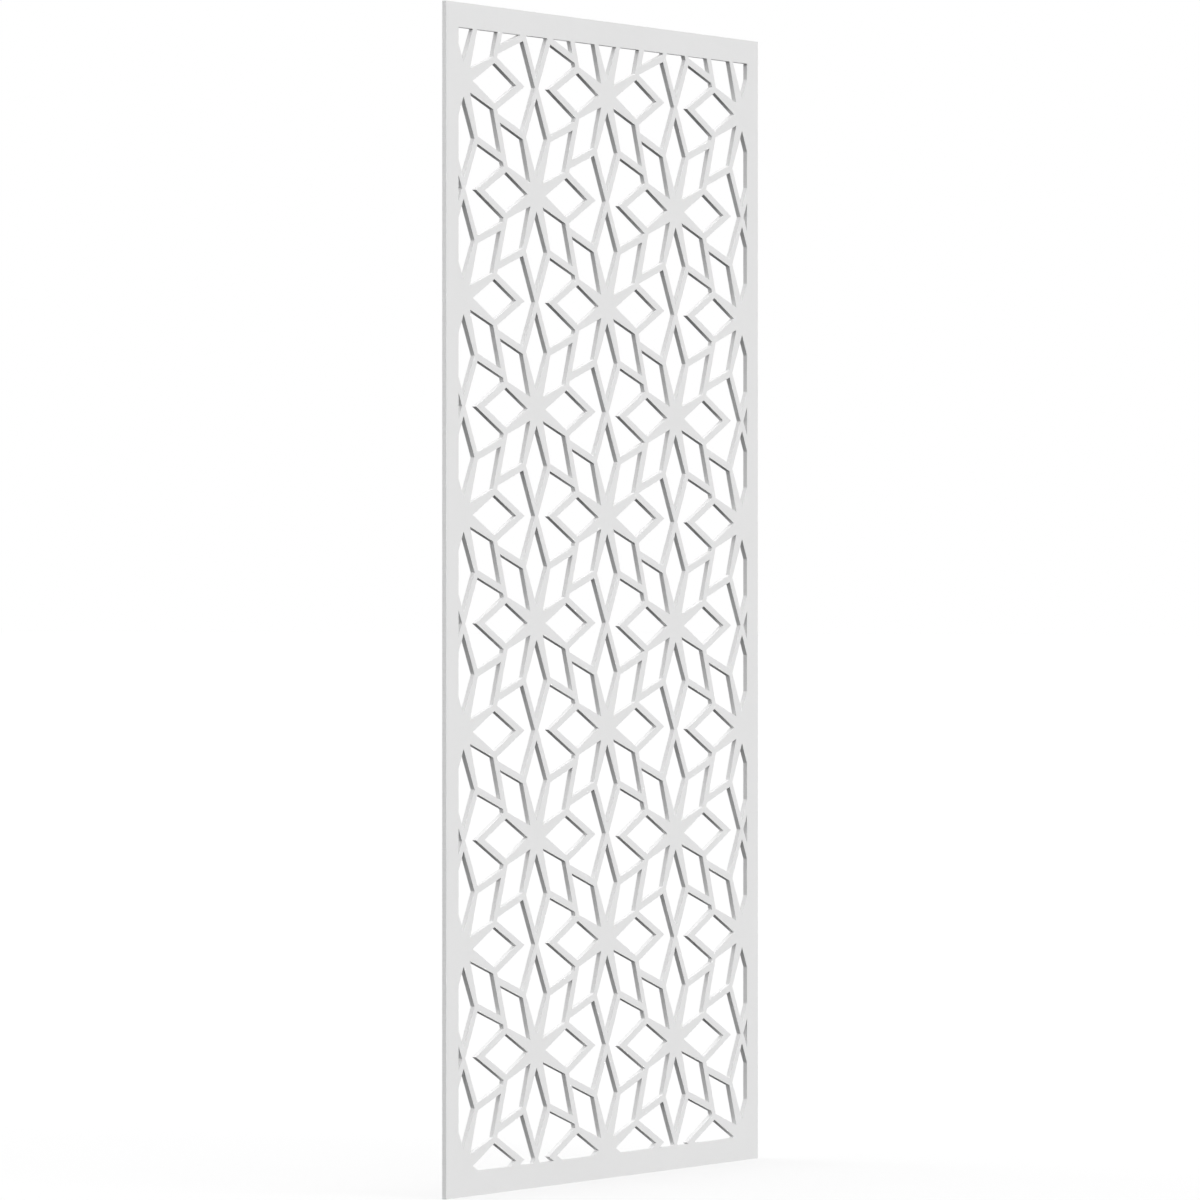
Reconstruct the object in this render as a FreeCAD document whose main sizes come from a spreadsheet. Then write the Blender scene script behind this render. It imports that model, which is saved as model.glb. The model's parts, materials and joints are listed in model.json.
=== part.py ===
"""Framed fretwork panel: a pierced sheet of eight-petalled stars held in a grooved border.

Millimetres. Z is up, X runs along the width, and the front face looks towards -Y. The origin is the
middle of the panel's bottom edge, at half its thickness.
"""
import FreeCAD, Part
import math
import os
import re

import Sketcher

# Driving sizes. Lengths are in millimetres.
SIZES = {
    # the border
    "panel_width": 1240.0,
    "panel_height": 2400.0,
    "panel_thickness": 9.5,
    "stile_width": 46.0,
    "rail_width": 50.0,
    # the tongue round the fretwork, and the gaps that its grooves leave round it
    "tongue_thickness": 3.2,
    "tongue_depth": 6.0,
    "fit_clearance": 0.1,
    "slot_relief": 0.5,
    # the loose tenons in the corners
    "tenon_thickness": 3.2,
    "tenon_width": 28.0,
    "tenon_length": 40.0,
    # the first star's centre, from the window's lower left corner
    "first_column": 19.0,
    "first_row": 10.1,
    # how much lower the right-hand columns sit
    "repeat_drop": 7.1,
    # a petal's opening
    "petal_length": 164.0,
    "petal_width": 82.0,
    # ribs between two petals of one star, between the facing petals of two stars and round a chevron,
    # and what is left between the tips of two stars in one column
    "petal_rib": 13.02,
    "facing_rib": 16.48,
    "chevron_rib": 14.5,
    "tip_gap": 41.1,
}
# Petals in a star, and the first column that sits lower
PETALS = 8
PETAL_STEP = 2 * math.pi / PETALS
LOWER_COLUMN = 3

doc = FreeCAD.newDocument("fretwork_panel")


def make_sheet():
    """The sheet of driving sizes, one named cell for each."""
    sheet = doc.addObject("Spreadsheet::Sheet", "sizes")
    for row, (name, value) in enumerate(SIZES.items(), start=1):
        sheet.set(f"A{row}", name)
        sheet.set(f"B{row}", str(value))
        sheet.setAlias(f"B{row}", name)
    doc.recompute()
    return sheet


sheet = make_sheet()


def cells(text):
    """An expression over size names, with each name pointed at its cell."""
    return re.sub(r"[a-z_]+", lambda word: f"sizes.{word[0]}" if word[0] in SIZES else word[0], text)


def number(text):
    return float(sheet.evalExpression(cells(text)))


def size(name):
    return float(getattr(sheet, name))


# Lengths that follow from the driving sizes
WINDOW_WIDTH = "(panel_width - 2 * stile_width)"
WINDOW_HEIGHT = "(panel_height - 2 * rail_width)"
GROOVE_DEPTH = "(tongue_depth + slot_relief)"
GROOVE_WIDTH = "(tongue_thickness + 2 * fit_clearance)"
MORTISE_DEPTH = "(tenon_length / 2 + slot_relief)"
MORTISE_WIDTH = "(tenon_width + 2 * fit_clearance)"
MORTISE_THICKNESS = "(tenon_thickness + 2 * fit_clearance)"
# a tenon sits in the middle of the rail's width that the groove leaves
TENON_MIDDLE = f"((rail_width - {GROOVE_DEPTH}) / 2)"
MORTISE_BOTTOM = f"({TENON_MIDDLE} - {MORTISE_WIDTH} / 2)"


def make_body(label, x="0", z="0", axis=FreeCAD.Vector(0, 0, 1), turn=0):
    """A body whose own corner stands at x, z on the panel, turned about an axis."""
    body = doc.addObject("PartDesign::Body", label)
    body.Label = label
    body.Placement = FreeCAD.Placement(FreeCAD.Vector(), FreeCAD.Rotation(axis, turn))
    body.setExpression(".Placement.Base.x", cells(x))
    body.setExpression(".Placement.Base.z", cells(z))
    return body


def make_sketch(body, name):
    """A sketch in the panel's middle plane, with its origin at the body's own corner."""
    sketch = body.newObject("Sketcher::SketchObject", name)
    plane = next(o for o in body.Origin.OriginFeatures if o.Role == "XZ_Plane")
    sketch.AttachmentSupport = (plane, [""])
    sketch.MapMode = "FlatFace"
    return sketch


def drive(sketch, text, kind, *where):
    """Adds a dimension whose value is an expression over the sizes."""
    index = sketch.addConstraint(Sketcher.Constraint(kind, *where, number(text)))
    sketch.setExpression(f"Constraints[{index}]", cells(text))


def place_point(sketch, geometry, point, x, z):
    """Ties a point to its distances from the sketch's origin."""
    for kind, axis, text in (("DistanceX", -2, x), ("DistanceY", -1, z)):
        value = number(text)
        if value > 0:
            drive(sketch, text, kind, -1, 1, geometry, point)
        elif value < 0:
            drive(sketch, f"-({text})", kind, geometry, point, -1, 1)
        else:
            sketch.addConstraint(Sketcher.Constraint("PointOnObject", geometry, point, axis))


def draw_polygon(sketch, corners):
    """Closed outline through the corners; returns the number of its first line."""
    points = [FreeCAD.Vector(x, z, 0) for x, z in corners]
    first = sketch.GeometryCount
    count = len(points)
    for i in range(count):
        sketch.addGeometry(Part.LineSegment(points[i], points[(i + 1) % count]))
    for i in range(count):
        sketch.addConstraint(Sketcher.Constraint("Coincident", first + i, 2, first + (i + 1) % count, 1))
    return first


def draw_rectangle(sketch, left, bottom, right, top):
    """Rectangle between four positions, each an expression over the sizes."""
    x0, z0, x1, z1 = (number(text) for text in (left, bottom, right, top))
    first = draw_polygon(sketch, [(x0, z0), (x1, z0), (x1, z1), (x0, z1)])
    for i, direction in enumerate(("Horizontal", "Vertical", "Horizontal", "Vertical")):
        sketch.addConstraint(Sketcher.Constraint(direction, first + i))
    place_point(sketch, first, 1, left, bottom)
    place_point(sketch, first + 2, 1, right, top)


def add_pad(body, sketch, name, thickness):
    """Extrudes a sketch to a thickness centred on the panel's middle plane."""
    pad = body.newObject("PartDesign::Pad", name)
    pad.Profile = sketch
    pad.SideType = "Symmetric"
    pad.setExpression("Length", cells(thickness))
    return pad


def add_slot(body, name, thickness, *rectangles):
    """Cuts rectangles into a board as a slot centred in its thickness."""
    sketch = make_sketch(body, f"{name}_sketch")
    for rectangle in rectangles:
        draw_rectangle(sketch, *rectangle)
    slot = body.newObject("PartDesign::Pocket", name)
    slot.Profile = sketch
    slot.SideType = "Symmetric"
    slot.setExpression("Length", cells(thickness))
    return slot


def make_board(body, width, height):
    sketch = make_sketch(body, "board_sketch")
    draw_rectangle(sketch, "0", "0", width, height)
    add_pad(body, sketch, "board", "panel_thickness")


def make_stile(label, x, turn):
    """Upright of the border: groove and mortises on its inner edge, stopped short of its ends."""
    body = make_body(label, x, turn=turn)
    make_board(body, "stile_width", "panel_height")
    add_slot(body, "groove", GROOVE_WIDTH,
             (f"stile_width - {GROOVE_DEPTH}", f"rail_width - {GROOVE_DEPTH}",
              "stile_width", f"panel_height - rail_width + {GROOVE_DEPTH}"))
    inside = f"stile_width - {MORTISE_DEPTH}"
    add_slot(body, "mortises", MORTISE_THICKNESS,
             (inside, MORTISE_BOTTOM, "stile_width", f"{MORTISE_BOTTOM} + {MORTISE_WIDTH}"),
             (inside, f"panel_height - {MORTISE_BOTTOM} - {MORTISE_WIDTH}",
              "stile_width", f"panel_height - {MORTISE_BOTTOM}"))
    return body


def make_rail(label, x, z, turn):
    """Crosspiece of the border: groove along its inner edge and a mortise in each end."""
    body = make_body(label, x, z, FreeCAD.Vector(0, 1, 0), turn)
    make_board(body, WINDOW_WIDTH, "rail_width")
    add_slot(body, "groove", GROOVE_WIDTH,
             ("0", f"rail_width - {GROOVE_DEPTH}", WINDOW_WIDTH, "rail_width"))
    top = f"{MORTISE_BOTTOM} + {MORTISE_WIDTH}"
    add_slot(body, "mortises", MORTISE_THICKNESS,
             ("0", MORTISE_BOTTOM, MORTISE_DEPTH, top),
             (f"{WINDOW_WIDTH} - {MORTISE_DEPTH}", MORTISE_BOTTOM, WINDOW_WIDTH, top))
    return body


def make_tenon(label, x, z):
    """Loose tenon across the joint between a stile and a rail."""
    body = make_body(label, x, z)
    sketch = make_sketch(body, "tenon_sketch")
    draw_rectangle(sketch, "-tenon_length / 2", "-tenon_width / 2",
                   "tenon_length / 2", "tenon_width / 2")
    add_pad(body, sketch, "tenon", "tenon_thickness")
    return body


def petal_radius():
    """From a star's centre to the middle of its petals, which leaves the rib between two petals."""
    half_step = PETAL_STEP / 2
    return (size("petal_width") / 2 * math.cos(half_step) + size("petal_rib") / 2) / math.sin(half_step)


def star_reach():
    """From a star's centre to the tips of its petals."""
    return petal_radius() + size("petal_length") / 2


def petal_lean():
    """Angle between a petal's axis and the normal of its edges."""
    return math.atan2(size("petal_length"), size("petal_width"))


def edge_distance():
    """From a star's centre to the lines that its petals' outer edges lie on."""
    return star_reach() * math.cos(petal_lean())


def row_pitch():
    return 2 * star_reach() + size("tip_gap")


def column_pitch():
    """The columns' spacing leaves the rib between the facing diagonal petals of two stars.

    Their facing edges are parallel. The normal of those edges is the petals' lean off the diagonal, so
    the way from star to star, one column across and half a row up, measures along it both edge
    distances and the rib.
    """
    normal = petal_lean() - PETAL_STEP
    along = 2 * edge_distance() + size("facing_rib")
    return (along + row_pitch() / 2 * math.sin(normal)) / math.cos(normal)


def star_centre(column, row):
    """Centre of a star, from the window's lower left corner. Odd columns are half a row up."""
    stagger = row + (0.5 if column % 2 else 0)
    drop = size("repeat_drop") if column >= LOWER_COLUMN else 0
    return (size("first_column") + column * column_pitch(),
            size("first_row") + stagger * row_pitch() - drop)


def petal(star, turn):
    """Corners of one petal of a star: a rhombus with its length along the turn."""
    middle = petal_radius()
    half_length = size("petal_length") / 2
    half_width = size("petal_width") / 2
    rhombus = [(middle - half_length, 0), (middle, -half_width),
               (middle + half_length, 0), (middle, half_width)]
    along = (math.cos(turn), math.sin(turn))
    across = (-math.sin(turn), math.cos(turn))
    return [tuple(star[i] + u * along[i] + v * across[i] for i in (0, 1)) for u, v in rhombus]


def rim_tip():
    """From a star's centre to the tips of its rim."""
    return (edge_distance() + size("chevron_rib")) / math.cos(petal_lean())


def rim(star):
    """Corners of a star's outline, a rib outside its petals: a tip at each, and a notch between two."""
    notch = (edge_distance() + size("chevron_rib")) / math.cos(petal_lean() - PETAL_STEP / 2)
    turns = [place * PETAL_STEP / 2 for place in range(2 * PETALS)]
    distances = [rim_tip(), notch] * PETALS
    return [(star[0] + d * math.cos(a), star[1] + d * math.sin(a)) for d, a in zip(distances, turns)]


def places(first, pitch, length):
    """Numbers of the columns or rows whose stars can reach into a length of the window."""
    lowest = math.floor(-(first + rim_tip()) / pitch)
    highest = math.ceil((length - first + rim_tip()) / pitch)
    return range(lowest, highest + 1)


def flat_face(corners):
    points = [FreeCAD.Vector(x, 0, z) for x, z in corners]
    return Part.Face(Part.makePolygon(points + points[:1]))


def faces_near(outline, polygons):
    """The polygons as faces, without those that lie clear of the outline's box."""
    faces = [flat_face(corners) for corners in polygons]
    return [face for face in faces if face.BoundBox.intersect(outline.BoundBox)]


def pierced_face():
    """The sheet's outline, less the petals and the chevrons that the stars' rims leave between them."""
    width, height = number(WINDOW_WIDTH), number(WINDOW_HEIGHT)
    outline = flat_face([(0, 0), (width, 0), (width, height), (0, height)])
    stars = [star_centre(column, row) for column in places(size("first_column"), column_pitch(), width)
             for row in places(size("first_row"), row_pitch(), height)]
    turns = [place * PETAL_STEP for place in range(PETALS)]
    rims = faces_near(outline, [rim(star) for star in stars])
    petals = faces_near(outline, [petal(star, turn) for star in stars for turn in turns])
    chevrons = outline.cut(rims).Faces
    return outline.cut(chevrons + petals)


def make_box(name, x, y, z, length, width, height):
    box = doc.addObject("Part::Box", name)
    for place, text in (("Placement.Base.x", x), ("Placement.Base.y", y), ("Placement.Base.z", z),
                        ("Length", length), ("Width", width), ("Height", height)):
        box.setExpression(place, cells(text))
    return box


def make_fretwork():
    """The pierced sheet, which fills the window, and the tongue round it, which no opening cuts."""
    face = doc.addObject("Part::Feature", "pierced_face")
    face.Shape = pierced_face()
    sheet_board = doc.addObject("Part::Extrusion", "pierced_sheet")
    sheet_board.Base = face
    sheet_board.DirMode = "Custom"
    sheet_board.Dir = FreeCAD.Vector(0, 1, 0)
    sheet_board.Symmetric = True
    sheet_board.Solid = True
    sheet_board.setExpression("LengthFwd", cells("panel_thickness"))
    tongue = doc.addObject("Part::Cut", "tongue")
    tongue.Base = make_box("tongue_board", "-tongue_depth", "-tongue_thickness / 2", "-tongue_depth",
                           f"{WINDOW_WIDTH} + 2 * tongue_depth", "tongue_thickness",
                           f"{WINDOW_HEIGHT} + 2 * tongue_depth")
    tongue.Tool = make_box("tongue_inside", "0", "-tongue_thickness", "0",
                           WINDOW_WIDTH, "2 * tongue_thickness", WINDOW_HEIGHT)
    fretwork = doc.addObject("Part::Fuse", "fretwork_sheet")
    fretwork.Base = sheet_board
    fretwork.Tool = tongue
    fretwork.setExpression(".Placement.Base.x", cells("stile_width - panel_width / 2"))
    fretwork.setExpression(".Placement.Base.z", cells("rail_width"))
    return fretwork


def make_parts():
    left, right = "stile_width - panel_width / 2", "panel_width / 2 - stile_width"
    low, high = TENON_MIDDLE, f"panel_height - {TENON_MIDDLE}"
    return [
        make_stile("left_stile", "-panel_width / 2", 0),
        make_stile("right_stile", "panel_width / 2", 180),
        make_rail("bottom_rail", left, "0", 0),
        make_rail("top_rail", right, "panel_height", 180),
        make_tenon("corner_tenon_bottom_left", left, low),
        make_tenon("corner_tenon_bottom_right", right, low),
        make_tenon("corner_tenon_top_left", left, high),
        make_tenon("corner_tenon_top_right", right, high),
        make_fretwork(),
    ]


def write_parts(parts):
    """Writes one file for each piece, once every object is sound."""
    doc.recompute()
    for item in doc.Objects:
        if {"Invalid", "Error"} & set(item.State):
            raise RuntimeError(f"{item.Label} did not build: {item.State}")
    for body in parts:
        if body.Shape.isNull() or not body.Shape.isValid() or len(body.Shape.Solids) != 1:
            raise RuntimeError(f"{body.Label} is not one sound solid")
    os.makedirs("parts", exist_ok=True)
    for body in parts:
        body.Shape.exportStep(os.path.join("parts", f"{body.Label}.step"))
        print(f"{body.Label}: {body.Shape.Volume / 1000:.1f} cm3")


write_parts(make_parts())
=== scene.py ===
"""Looks for a framed fretwork panel: a matt white coat, soft light from all sides and a white ground.

Metres, in the panel's own frame: Z is up, and the front face looks towards -Y.
"""
import json
import math

import bpy
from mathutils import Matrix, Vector

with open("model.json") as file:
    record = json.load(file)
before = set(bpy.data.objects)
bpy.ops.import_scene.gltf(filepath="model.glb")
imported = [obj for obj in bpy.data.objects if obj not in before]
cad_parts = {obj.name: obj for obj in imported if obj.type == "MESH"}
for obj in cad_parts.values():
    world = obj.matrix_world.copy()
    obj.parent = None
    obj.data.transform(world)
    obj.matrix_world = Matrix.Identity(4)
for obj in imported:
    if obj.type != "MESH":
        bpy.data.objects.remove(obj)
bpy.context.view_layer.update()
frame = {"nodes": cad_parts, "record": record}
scene = bpy.context.scene

# Middle of the panel's bottom edge
PANEL_FOOT = Vector((0.0, 0.0, 0.0))

# Camera: level, at half the panel's height, far off to the left of its front. Its focal length is in
# pixels of an image of the given width, and its sensor in millimetres.
VIEW_ANGLE = math.radians(58.535)
CAMERA_AT = Vector((-12.636, -7.719, 1.200))
IMAGE_WIDTH = 1200
FOCAL_PIXELS = 7132.3
SENSOR_WIDTH = 36.0
FARTHEST_SEEN = 1000.0

# Sky: the strength of its light, the share of it that comes from below the horizon, and how far above and
# below the horizon it fades, as the height of a direction of length 1
SKY_AT_HORIZON = 0.85
SKY_OVERHEAD = 1.35
GROUND_SHARE = 0.02
HORIZON_FADE = 0.1

# Lamps: a soft one for each face of the panel, from a little above level, and one for each side edge
FACE_LAMP = 1.29
FACE_LAMP_RISE = math.radians(14.0)
FACE_LAMP_SPREAD = math.radians(30.0)
EDGE_LAMP = 0.70
EDGE_LAMP_SPREAD = math.radians(3.0)
LAMP_DISTANCE = 10.0

# Floor. Where it is seen, its glow and its colour, which takes the panel's shadow, make white together. The
# light that it throws back on the panel comes from a darker colour.
FLOOR_SIDE = 400.0
FLOOR_GLOW = 0.665
FLOOR_SEEN = (0.25, 0.25, 0.25, 1.0)
FLOOR_BOUNCE = (0.03, 0.03, 0.03, 1.0)
WHITE = (1.0, 1.0, 1.0, 1.0)

# Matt white coat. Shades multiply the colour, and shades and roughness run from the low values of a noise
# to its high ones. The relief is how deep the noise lies in the surface.
PAINT_COLOUR = (0.80, 0.80, 0.80)
PAINT_SPECULAR = 0.3
PAINT_RELIEF = 0.00016
FACE_SHADES = (0.992, 1.008)
FACE_ROUGHNESS = (0.52, 0.68)
# Edge shades sit lower on average than the face shades: painted shade that darkens the side edges and the
# walls of the openings, varied by the cutter's marks
EDGE_MARKS_AND_PAINTED_SHADE = (0.94, 1.01)
EDGE_ROUGHNESS = (0.60, 0.80)

# Sawn sheet with no coat
RAW_COLOUR = (0.78, 0.77, 0.74)
RAW_SPECULAR = 0.2
RAW_RELIEF = 0.0001
RAW_SHADES = (0.94, 1.03)
RAW_ROUGHNESS = (0.72, 0.9)

# Noises, with their scale per metre, and the stretches that draw them out along an axis: a cutter's marks
# run through the panel's thickness, and saw lines along a tenon
CLOUDS = {"Scale": 6.0, "Detail": 4.0, "Roughness": 0.6}
STIPPLE = {"Scale": 340.0, "Detail": 4.0, "Roughness": 0.6}
CUTTER_MARKS = {"Scale": 420.0, "Detail": 4.0, "Roughness": 0.65}
SAW_LINES = {"Scale": 1400.0, "Detail": 3.0, "Roughness": 0.6}
NO_STRETCH = (1.0, 1.0, 1.0)
THROUGH_THICKNESS = (1.0, 0.04, 1.0)
ALONG_TENON = (0.06, 1.0, 1.0)

# Most of a noise's values lie between these
NOISE_MIDDLE = (0.3, 0.7)
# How much of a surface's normal lies along the panel's thickness: less is an edge, and more is a face
EDGE_TO_FACE = (0.4, 0.6)


def empty_nodes(owner):
    """The node tree of a material or a world, with nothing in it."""
    owner.use_nodes = True
    tree = owner.node_tree
    tree.nodes.clear()
    return tree


def add(tree, kind, **values):
    """A new node with its settings, and its unlinked inputs by name."""
    node = tree.nodes.new(kind)
    for name, value in values.items():
        if hasattr(node, name):
            setattr(node, name, value)
        else:
            node.inputs[name.replace("_", " ")].default_value = value
    return node


def link(tree, source, target):
    tree.links.new(source, target)


def shaded(tree, noise, colour, shades):
    """A colour, times the first shade at a noise's low values and the second at its high ones."""
    ramp = add(tree, "ShaderNodeValToRGB")
    for stop, position, shade in zip(ramp.color_ramp.elements, NOISE_MIDDLE, shades):
        stop.position = position
        stop.color = [channel * shade for channel in colour] + [1.0]
    link(tree, noise, ramp.inputs["Fac"])
    return ramp.outputs["Color"]


def between(tree, noise, limits):
    """A noise's 0 to 1, taken to two limits."""
    scale = add(tree, "ShaderNodeMapRange", To_Min=limits[0], To_Max=limits[1])
    link(tree, noise, scale.inputs["Value"])
    return scale.outputs["Result"]


def blend(tree, kind, factor, first, second):
    """The first input where the factor is 0, and the second where it is 1.

    The node has a pair of inputs and an output for each kind of value, so they go by number.
    """
    mix = add(tree, "ShaderNodeMix", data_type=kind)
    first_input, second_input, output = {"FLOAT": (2, 3, 0), "RGBA": (6, 7, 2)}[kind]
    link(tree, factor, mix.inputs[0])
    link(tree, first, mix.inputs[first_input])
    link(tree, second, mix.inputs[second_input])
    return mix.outputs[output]


def stretched_noise(tree, stretch, values):
    """Noise in the panel's own metres, drawn out along the axes where the stretch is small."""
    place = add(tree, "ShaderNodeTexCoord")
    pull = add(tree, "ShaderNodeVectorMath", operation="MULTIPLY")
    pull.inputs[1].default_value = stretch
    link(tree, place.outputs["Object"], pull.inputs[0])
    noise = add(tree, "ShaderNodeTexNoise", **values)
    link(tree, pull.outputs["Vector"], noise.inputs["Vector"])
    return noise.outputs["Fac"]


def cut_edge(tree):
    """1 on the panel's edges and the walls of its openings, 0 on its two faces."""
    place = add(tree, "ShaderNodeTexCoord")
    axes = add(tree, "ShaderNodeSeparateXYZ")
    link(tree, place.outputs["Normal"], axes.inputs["Vector"])
    along = add(tree, "ShaderNodeMath", operation="ABSOLUTE")
    link(tree, axes.outputs["Y"], along.inputs[0])
    low, high = EDGE_TO_FACE
    edge = add(tree, "ShaderNodeMapRange", From_Min=low, From_Max=high, To_Min=1.0, To_Max=0.0)
    link(tree, along.outputs["Value"], edge.inputs["Value"])
    return edge.outputs["Result"]


def new_surface(name, specular):
    """A material with a shader and nothing on it yet."""
    material = bpy.data.materials.new(name)
    tree = empty_nodes(material)
    output = add(tree, "ShaderNodeOutputMaterial")
    shader = add(tree, "ShaderNodeBsdfPrincipled")
    shader.inputs["Specular IOR Level"].default_value = specular
    link(tree, shader.outputs["BSDF"], output.inputs["Surface"])
    return material, tree, shader


def finish_surface(tree, shader, colour, roughness, height, relief):
    """Colour, roughness and relief for a shader."""
    link(tree, colour, shader.inputs["Base Color"])
    link(tree, roughness, shader.inputs["Roughness"])
    bump = add(tree, "ShaderNodeBump", Strength=1.0, Distance=relief)
    link(tree, height, bump.inputs["Height"])
    link(tree, bump.outputs["Normal"], shader.inputs["Normal"])


def make_paint(name):
    """Matt white coat: clouds and a sprayed stipple on the faces, a cutter's marks across the edges, which
    are also a little darker than the faces as painted shade.
    """
    material, tree, shader = new_surface(name, PAINT_SPECULAR)
    clouds = stretched_noise(tree, NO_STRETCH, CLOUDS)
    stipple = stretched_noise(tree, NO_STRETCH, STIPPLE)
    marks = stretched_noise(tree, THROUGH_THICKNESS, CUTTER_MARKS)
    edge = cut_edge(tree)
    face_colour = shaded(tree, clouds, PAINT_COLOUR, FACE_SHADES)
    # Painted shade: the edges and the walls of the openings come out a little darker than the faces, with
    # the cutter's marks over it
    edge_marks_and_painted_shade = shaded(tree, marks, PAINT_COLOUR, EDGE_MARKS_AND_PAINTED_SHADE)
    face_roughness = between(tree, stipple, FACE_ROUGHNESS)
    edge_roughness = between(tree, marks, EDGE_ROUGHNESS)
    colour = blend(tree, "RGBA", edge, face_colour, edge_marks_and_painted_shade)
    roughness = blend(tree, "FLOAT", edge, face_roughness, edge_roughness)
    height = blend(tree, "FLOAT", edge, stipple, marks)
    finish_surface(tree, shader, colour, roughness, height, PAINT_RELIEF)
    return material


def make_raw(name):
    """Sawn sheet with no coat, for the tenons inside the corners: saw lines and a duller skin."""
    material, tree, shader = new_surface(name, RAW_SPECULAR)
    lines = stretched_noise(tree, ALONG_TENON, SAW_LINES)
    colour = shaded(tree, lines, RAW_COLOUR, RAW_SHADES)
    roughness = between(tree, lines, RAW_ROUGHNESS)
    finish_surface(tree, shader, colour, roughness, lines, RAW_RELIEF)
    return material


def dress_panel():
    """Gives each piece the finish of its material slot."""
    finishes = {
        "border": make_paint("matt_white_border"),
        "fretwork": make_paint("matt_white_fretwork"),
        "tenon": make_raw("sawn_sheet"),
    }
    for piece in frame["record"]["subparts"]:
        node = frame["nodes"][piece["node"]]
        node.data.materials.clear()
        node.data.materials.append(finishes[piece["material_slot"]])


def background_ray(tree):
    """1 for what the camera sees straight on, in a reflection or through glass; 0 for other light."""
    path = add(tree, "ShaderNodeLightPath")
    seen = path.outputs["Is Camera Ray"]
    for name in ("Is Glossy Ray", "Is Transmission Ray"):
        larger = add(tree, "ShaderNodeMath", operation="MAXIMUM")
        link(tree, seen, larger.inputs[0])
        link(tree, path.outputs[name], larger.inputs[1])
        seen = larger.outputs["Value"]
    return seen


def light_and_show(tree, output, lighting, seen):
    """Ends a tree with two shaders: one that lights the panel, and one that is seen behind it."""
    choice = add(tree, "ShaderNodeMixShader")
    link(tree, background_ray(tree), choice.inputs["Fac"])
    link(tree, lighting, choice.inputs[1])
    link(tree, seen, choice.inputs[2])
    link(tree, choice.outputs["Shader"], output.inputs["Surface"])


def make_floor_finish(name):
    """White where it is seen, with the panel's shadow on it. The panel gets little light from it."""
    material = bpy.data.materials.new(name)
    tree = empty_nodes(material)
    output = add(tree, "ShaderNodeOutputMaterial")
    glow = add(tree, "ShaderNodeEmission", Color=WHITE, Strength=FLOOR_GLOW)
    lit = add(tree, "ShaderNodeBsdfDiffuse", Color=FLOOR_SEEN)
    seen = add(tree, "ShaderNodeAddShader")
    link(tree, glow.outputs["Emission"], seen.inputs[0])
    link(tree, lit.outputs["BSDF"], seen.inputs[1])
    bounce = add(tree, "ShaderNodeBsdfDiffuse", Color=FLOOR_BOUNCE)
    light_and_show(tree, output, bounce.outputs["BSDF"], seen.outputs["Shader"])
    return material


def make_floor():
    bpy.ops.mesh.primitive_plane_add(size=FLOOR_SIDE, location=PANEL_FOOT)
    floor = bpy.context.object
    floor.name = "floor"
    floor.data.materials.append(make_floor_finish("floor_white"))


def make_sky():
    """White where it is seen, and light for the panel that grows from the horizon upwards."""
    world = bpy.data.worlds.new("sky")
    scene.world = world
    tree = empty_nodes(world)
    output = add(tree, "ShaderNodeOutputWorld")
    place = add(tree, "ShaderNodeTexCoord")
    height = add(tree, "ShaderNodeSeparateXYZ")
    link(tree, place.outputs["Generated"], height.inputs["Vector"])
    rising = add(tree, "ShaderNodeMapRange", To_Min=SKY_AT_HORIZON, To_Max=SKY_OVERHEAD)
    above = add(tree, "ShaderNodeMapRange", From_Min=-HORIZON_FADE, From_Max=HORIZON_FADE,
                To_Min=GROUND_SHARE, To_Max=1.0)
    strength = add(tree, "ShaderNodeMath", operation="MULTIPLY")
    for index, share in enumerate((rising, above)):
        link(tree, height.outputs["Z"], share.inputs["Value"])
        link(tree, share.outputs["Result"], strength.inputs[index])
    light = add(tree, "ShaderNodeBackground", Color=WHITE)
    link(tree, strength.outputs["Value"], light.inputs["Strength"])
    white = add(tree, "ShaderNodeBackground", Color=WHITE, Strength=1.0)
    light_and_show(tree, output, light.outputs["Background"], white.outputs["Background"])


def aim(obj, at, target):
    """Puts a lamp or a camera at a place and turns it to a target."""
    obj.location = at
    obj.rotation_euler = (target - at).to_track_quat("-Z", "Y").to_euler()


def make_sun(name, strength, comes_from, spread):
    """Light that is the same all over the panel. Its spread softens its shadows."""
    sun = bpy.data.lights.new(name, "SUN")
    sun.energy = strength
    sun.angle = spread
    holder = bpy.data.objects.new(name, sun)
    scene.collection.objects.link(holder)
    aim(holder, comes_from * LAMP_DISTANCE, PANEL_FOOT)


def make_lamps():
    rise, level = math.sin(FACE_LAMP_RISE), math.cos(FACE_LAMP_RISE)
    make_sun("front_lamp", FACE_LAMP, Vector((0.0, -level, rise)), FACE_LAMP_SPREAD)
    make_sun("back_lamp", FACE_LAMP, Vector((0.0, level, rise)), FACE_LAMP_SPREAD)
    make_sun("left_lamp", EDGE_LAMP, Vector((-1.0, 0.0, 0.0)), EDGE_LAMP_SPREAD)
    make_sun("right_lamp", EDGE_LAMP, Vector((1.0, 0.0, 0.0)), EDGE_LAMP_SPREAD)


def make_camera():
    lens = bpy.data.cameras.new("camera")
    lens.sensor_fit = "HORIZONTAL"
    lens.sensor_width = SENSOR_WIDTH
    lens.lens = SENSOR_WIDTH * FOCAL_PIXELS / IMAGE_WIDTH
    lens.clip_end = FARTHEST_SEEN
    camera = bpy.data.objects.new("camera", lens)
    scene.collection.objects.link(camera)
    ahead = Vector((math.sin(VIEW_ANGLE), math.cos(VIEW_ANGLE), 0.0))
    aim(camera, CAMERA_AT, CAMERA_AT + ahead)
    scene.camera = camera


scene.view_settings.view_transform = "Standard"
dress_panel()
make_floor()
make_sky()
make_lamps()
make_camera()
